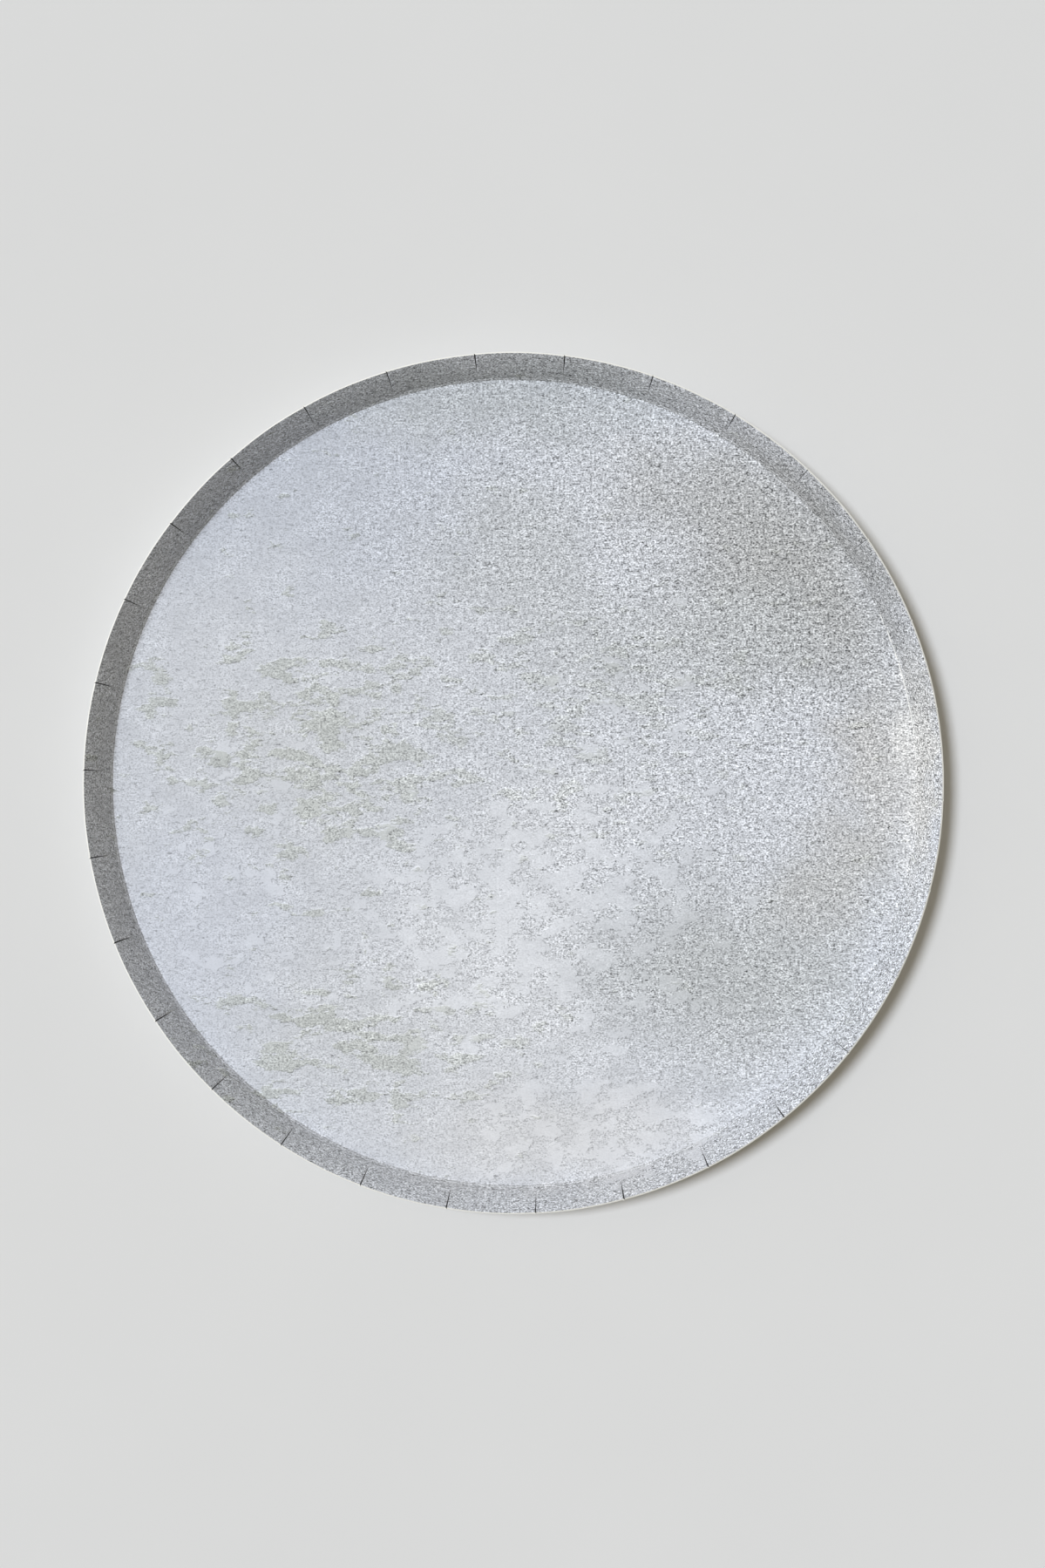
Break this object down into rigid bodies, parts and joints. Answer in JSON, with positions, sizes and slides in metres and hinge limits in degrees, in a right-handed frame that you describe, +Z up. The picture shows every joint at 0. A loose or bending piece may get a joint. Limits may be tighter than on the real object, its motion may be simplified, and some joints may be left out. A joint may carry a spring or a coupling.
{
  "type": "paper plate",
  "caption": "Round shallow paperboard plate: a flat printed floor ringed by wall flaps that are folded up along a circular crease.",
  "frame": {"origin": "centre of the plate's underside, on the surface that it stands on", "axes": "+Z up, out of the plate's open side; the plate is round about Z, and +X passes between the last flap's middle and the first cut"},
  "size_m": [0.23, 0.23, 0.0115],
  "materials": {
    "printed_board": "satin"
  },
  "bodies": {
    "floor_panel": {"floor_panel": "printed_board"},
    "wall_flap_01": {"wall_flap_01": "printed_board"},
    "wall_flap_02": {"wall_flap_02": "printed_board"},
    "wall_flap_03": {"wall_flap_03": "printed_board"},
    "wall_flap_04": {"wall_flap_04": "printed_board"},
    "wall_flap_05": {"wall_flap_05": "printed_board"},
    "wall_flap_06": {"wall_flap_06": "printed_board"},
    "wall_flap_07": {"wall_flap_07": "printed_board"},
    "wall_flap_08": {"wall_flap_08": "printed_board"},
    "wall_flap_09": {"wall_flap_09": "printed_board"},
    "wall_flap_10": {"wall_flap_10": "printed_board"},
    "wall_flap_11": {"wall_flap_11": "printed_board"},
    "wall_flap_12": {"wall_flap_12": "printed_board"},
    "wall_flap_13": {"wall_flap_13": "printed_board"},
    "wall_flap_14": {"wall_flap_14": "printed_board"},
    "wall_flap_15": {"wall_flap_15": "printed_board"},
    "wall_flap_16": {"wall_flap_16": "printed_board"},
    "wall_flap_17": {"wall_flap_17": "printed_board"},
    "wall_flap_18": {"wall_flap_18": "printed_board"},
    "wall_flap_19": {"wall_flap_19": "printed_board"},
    "wall_flap_20": {"wall_flap_20": "printed_board"},
    "wall_flap_21": {"wall_flap_21": "printed_board"},
    "wall_flap_22": {"wall_flap_22": "printed_board"},
    "wall_flap_23": {"wall_flap_23": "printed_board"},
    "wall_flap_24": {"wall_flap_24": "printed_board"},
    "wall_flap_25": {"wall_flap_25": "printed_board"},
    "wall_flap_26": {"wall_flap_26": "printed_board"},
    "wall_flap_27": {"wall_flap_27": "printed_board"},
    "wall_flap_28": {"wall_flap_28": "printed_board"},
    "wall_flap_29": {"wall_flap_29": "printed_board"},
    "wall_flap_30": {"wall_flap_30": "printed_board"}
  },
  "joints": [
    {"name": "crease_01", "type": "hinge", "parent": "floor_panel", "child": "wall_flap_01", "pos_m": [0.10559, 0.03108, 0.00022], "axis": [-0.2823, 0.9593, 0], "range_deg": [0, 67], "stiffness_Nm_per_rad": 0.0005},
    {"name": "crease_02", "type": "hinge", "parent": "floor_panel", "child": "wall_flap_02", "pos_m": [0.09682, 0.05235, 0.00022], "axis": [-0.4756, 0.8796, 0], "range_deg": [0, 67], "stiffness_Nm_per_rad": 0.0005},
    {"name": "crease_03", "type": "hinge", "parent": "floor_panel", "child": "wall_flap_03", "pos_m": [0.08382, 0.07133, 0.00022], "axis": [-0.6481, 0.7615, 0], "range_deg": [0, 67], "stiffness_Nm_per_rad": 0.0005},
    {"name": "crease_04", "type": "hinge", "parent": "floor_panel", "child": "wall_flap_04", "pos_m": [0.06716, 0.0872, 0.00022], "axis": [-0.7923, 0.6101, 0], "range_deg": [0, 67], "stiffness_Nm_per_rad": 0.0005},
    {"name": "crease_05", "type": "hinge", "parent": "floor_panel", "child": "wall_flap_05", "pos_m": [0.04756, 0.09926, 0.00022], "axis": [-0.9018, 0.4321, 0], "range_deg": [0, 67], "stiffness_Nm_per_rad": 0.0005},
    {"name": "crease_06", "type": "hinge", "parent": "floor_panel", "child": "wall_flap_06", "pos_m": [0.02588, 0.10698, 0.00022], "axis": [-0.972, 0.2351, 0], "range_deg": [0, 67], "stiffness_Nm_per_rad": 0.0005},
    {"name": "crease_07", "type": "hinge", "parent": "floor_panel", "child": "wall_flap_07", "pos_m": [0.00307, 0.11002, 0.00022], "axis": [-0.9996, 0.0279, 0], "range_deg": [0, 67], "stiffness_Nm_per_rad": 0.0005},
    {"name": "crease_08", "type": "hinge", "parent": "floor_panel", "child": "wall_flap_08", "pos_m": [-0.01987, 0.10826, 0.00022], "axis": [-0.9836, -0.1805, 0], "range_deg": [0, 67], "stiffness_Nm_per_rad": 0.0005},
    {"name": "crease_09", "type": "hinge", "parent": "floor_panel", "child": "wall_flap_09", "pos_m": [-0.04194, 0.10176, 0.00022], "axis": [-0.9245, -0.3811, 0], "range_deg": [0, 67], "stiffness_Nm_per_rad": 0.0005},
    {"name": "crease_10", "type": "hinge", "parent": "floor_panel", "child": "wall_flap_10", "pos_m": [-0.06218, 0.09082, 0.00022], "axis": [-0.8251, -0.565, 0], "range_deg": [0, 67], "stiffness_Nm_per_rad": 0.0005},
    {"name": "crease_11", "type": "hinge", "parent": "floor_panel", "child": "wall_flap_11", "pos_m": [-0.07971, 0.0759, 0.00022], "axis": [-0.6896, -0.7242, 0], "range_deg": [0, 67], "stiffness_Nm_per_rad": 0.0005},
    {"name": "crease_12", "type": "hinge", "parent": "floor_panel", "child": "wall_flap_12", "pos_m": [-0.09374, 0.05767, 0.00022], "axis": [-0.524, -0.8517, 0], "range_deg": [0, 67], "stiffness_Nm_per_rad": 0.0005},
    {"name": "crease_13", "type": "hinge", "parent": "floor_panel", "child": "wall_flap_13", "pos_m": [-0.10369, 0.03692, 0.00022], "axis": [-0.3355, -0.9421, 0], "range_deg": [0, 67], "stiffness_Nm_per_rad": 0.0005},
    {"name": "crease_14", "type": "hinge", "parent": "floor_panel", "child": "wall_flap_14", "pos_m": [-0.1091, 0.01456, 0.00022], "axis": [-0.1323, -0.9912, 0], "range_deg": [0, 67], "stiffness_Nm_per_rad": 0.0005},
    {"name": "crease_15", "type": "hinge", "parent": "floor_panel", "child": "wall_flap_15", "pos_m": [-0.10974, -0.00844, 0.00022], "axis": [0.0767, -0.9971, 0], "range_deg": [0, 67], "stiffness_Nm_per_rad": 0.0005},
    {"name": "crease_16", "type": "hinge", "parent": "floor_panel", "child": "wall_flap_16", "pos_m": [-0.10559, -0.03108, 0.00022], "axis": [0.2823, -0.9593, 0], "range_deg": [0, 67], "stiffness_Nm_per_rad": 0.0005},
    {"name": "crease_17", "type": "hinge", "parent": "floor_panel", "child": "wall_flap_17", "pos_m": [-0.09682, -0.05235, 0.00022], "axis": [0.4756, -0.8796, 0], "range_deg": [0, 67], "stiffness_Nm_per_rad": 0.0005},
    {"name": "crease_18", "type": "hinge", "parent": "floor_panel", "child": "wall_flap_18", "pos_m": [-0.08382, -0.07133, 0.00022], "axis": [0.6481, -0.7615, 0], "range_deg": [0, 67], "stiffness_Nm_per_rad": 0.0005},
    {"name": "crease_19", "type": "hinge", "parent": "floor_panel", "child": "wall_flap_19", "pos_m": [-0.06716, -0.0872, 0.00022], "axis": [0.7923, -0.6101, 0], "range_deg": [0, 67], "stiffness_Nm_per_rad": 0.0005},
    {"name": "crease_20", "type": "hinge", "parent": "floor_panel", "child": "wall_flap_20", "pos_m": [-0.04756, -0.09926, 0.00022], "axis": [0.9018, -0.4321, 0], "range_deg": [0, 67], "stiffness_Nm_per_rad": 0.0005},
    {"name": "crease_21", "type": "hinge", "parent": "floor_panel", "child": "wall_flap_21", "pos_m": [-0.02588, -0.10698, 0.00022], "axis": [0.972, -0.2351, 0], "range_deg": [0, 67], "stiffness_Nm_per_rad": 0.0005},
    {"name": "crease_22", "type": "hinge", "parent": "floor_panel", "child": "wall_flap_22", "pos_m": [-0.00307, -0.11002, 0.00022], "axis": [0.9996, -0.0279, 0], "range_deg": [0, 67], "stiffness_Nm_per_rad": 0.0005},
    {"name": "crease_23", "type": "hinge", "parent": "floor_panel", "child": "wall_flap_23", "pos_m": [0.01987, -0.10826, 0.00022], "axis": [0.9836, 0.1805, 0], "range_deg": [0, 67], "stiffness_Nm_per_rad": 0.0005},
    {"name": "crease_24", "type": "hinge", "parent": "floor_panel", "child": "wall_flap_24", "pos_m": [0.04194, -0.10176, 0.00022], "axis": [0.9245, 0.3811, 0], "range_deg": [0, 67], "stiffness_Nm_per_rad": 0.0005},
    {"name": "crease_25", "type": "hinge", "parent": "floor_panel", "child": "wall_flap_25", "pos_m": [0.06218, -0.09082, 0.00022], "axis": [0.8251, 0.565, 0], "range_deg": [0, 67], "stiffness_Nm_per_rad": 0.0005},
    {"name": "crease_26", "type": "hinge", "parent": "floor_panel", "child": "wall_flap_26", "pos_m": [0.07971, -0.0759, 0.00022], "axis": [0.6896, 0.7242, 0], "range_deg": [0, 67], "stiffness_Nm_per_rad": 0.0005},
    {"name": "crease_27", "type": "hinge", "parent": "floor_panel", "child": "wall_flap_27", "pos_m": [0.09374, -0.05767, 0.00022], "axis": [0.524, 0.8517, 0], "range_deg": [0, 67], "stiffness_Nm_per_rad": 0.0005},
    {"name": "crease_28", "type": "hinge", "parent": "floor_panel", "child": "wall_flap_28", "pos_m": [0.10369, -0.03692, 0.00022], "axis": [0.3355, 0.9421, 0], "range_deg": [0, 67], "stiffness_Nm_per_rad": 0.0005},
    {"name": "crease_29", "type": "hinge", "parent": "floor_panel", "child": "wall_flap_29", "pos_m": [0.1091, -0.01456, 0.00022], "axis": [0.1323, 0.9912, 0], "range_deg": [0, 67], "stiffness_Nm_per_rad": 0.0005},
    {"name": "crease_30", "type": "hinge", "parent": "floor_panel", "child": "wall_flap_30", "pos_m": [0.10974, 0.00844, 0.00022], "axis": [-0.0767, 0.9971, 0], "range_deg": [0, 67], "stiffness_Nm_per_rad": 0.0005}
  ],
  "couplings": [
    {"joint": "crease_02", "follows": "crease_01", "ratio": 1},
    {"joint": "crease_03", "follows": "crease_01", "ratio": 1},
    {"joint": "crease_04", "follows": "crease_01", "ratio": 1},
    {"joint": "crease_05", "follows": "crease_01", "ratio": 1},
    {"joint": "crease_06", "follows": "crease_01", "ratio": 1},
    {"joint": "crease_07", "follows": "crease_01", "ratio": 1},
    {"joint": "crease_08", "follows": "crease_01", "ratio": 1},
    {"joint": "crease_09", "follows": "crease_01", "ratio": 1},
    {"joint": "crease_10", "follows": "crease_01", "ratio": 1},
    {"joint": "crease_11", "follows": "crease_01", "ratio": 1},
    {"joint": "crease_12", "follows": "crease_01", "ratio": 1},
    {"joint": "crease_13", "follows": "crease_01", "ratio": 1},
    {"joint": "crease_14", "follows": "crease_01", "ratio": 1},
    {"joint": "crease_15", "follows": "crease_01", "ratio": 1},
    {"joint": "crease_16", "follows": "crease_01", "ratio": 1},
    {"joint": "crease_17", "follows": "crease_01", "ratio": 1},
    {"joint": "crease_18", "follows": "crease_01", "ratio": 1},
    {"joint": "crease_19", "follows": "crease_01", "ratio": 1},
    {"joint": "crease_20", "follows": "crease_01", "ratio": 1},
    {"joint": "crease_21", "follows": "crease_01", "ratio": 1},
    {"joint": "crease_22", "follows": "crease_01", "ratio": 1},
    {"joint": "crease_23", "follows": "crease_01", "ratio": 1},
    {"joint": "crease_24", "follows": "crease_01", "ratio": 1},
    {"joint": "crease_25", "follows": "crease_01", "ratio": 1},
    {"joint": "crease_26", "follows": "crease_01", "ratio": 1},
    {"joint": "crease_27", "follows": "crease_01", "ratio": 1},
    {"joint": "crease_28", "follows": "crease_01", "ratio": 1},
    {"joint": "crease_29", "follows": "crease_01", "ratio": 1},
    {"joint": "crease_30", "follows": "crease_01", "ratio": 1}
  ]
}
